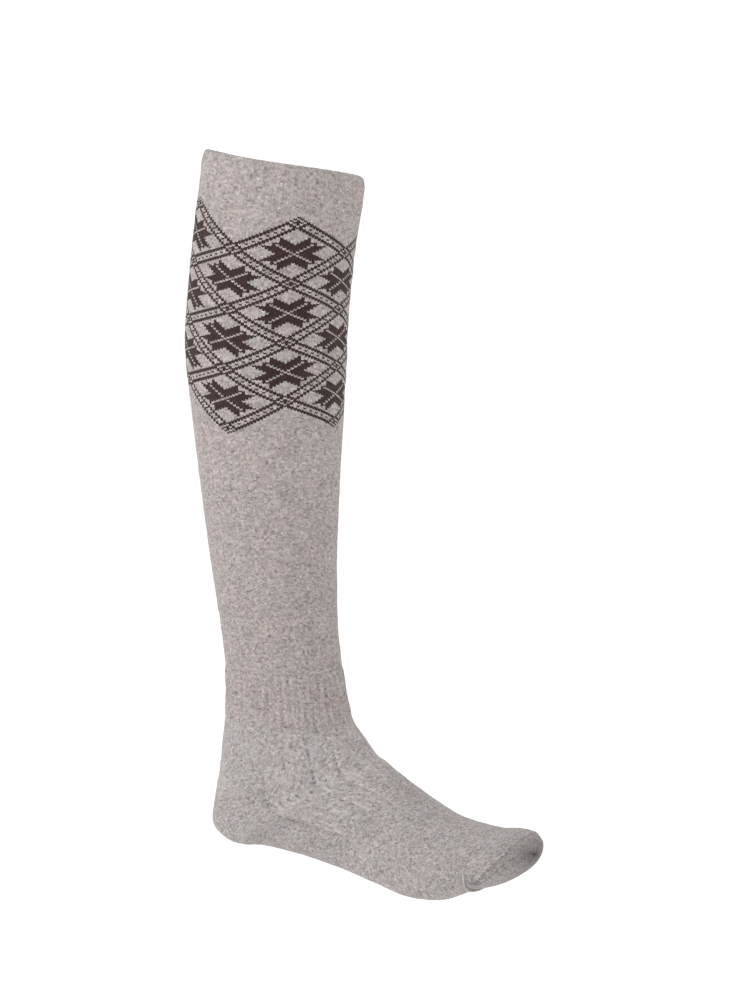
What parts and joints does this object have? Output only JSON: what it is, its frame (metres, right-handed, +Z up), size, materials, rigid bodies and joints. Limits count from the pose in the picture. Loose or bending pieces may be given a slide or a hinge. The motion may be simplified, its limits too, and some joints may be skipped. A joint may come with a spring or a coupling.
{
  "type": "wool knee sock",
  "caption": "Knee-high wool sock with a ribbed cuff, a knitted band of stars in a diamond lattice, ankle ribs, a shaped heel and a rounded toe.",
  "frame": {"origin": "centre of the sock's mouth, at the top of the cuff", "axes": "+Z up along the leg and out of the mouth, +X towards the toes, +Y the sock's left"},
  "size_m": [0.2465, 0.098, 0.4737],
  "materials": {
    "oatmeal_wool": "soft heathered wool knit, matt",
    "heather_wool": "soft heathered wool knit, matt, a shade darker",
    "starred_wool": "heathered wool knit with dark brown stars and lattice, matt"
  },
  "bodies": {
    "root": {"cuff": "oatmeal_wool", "star_band": "starred_wool", "lower_leg": "oatmeal_wool", "ankle_rib": "oatmeal_wool", "heel": "heather_wool", "foot": "oatmeal_wool", "toe": "heather_wool", "toe_seam": "heather_wool"}
  },
  "joints": []
}
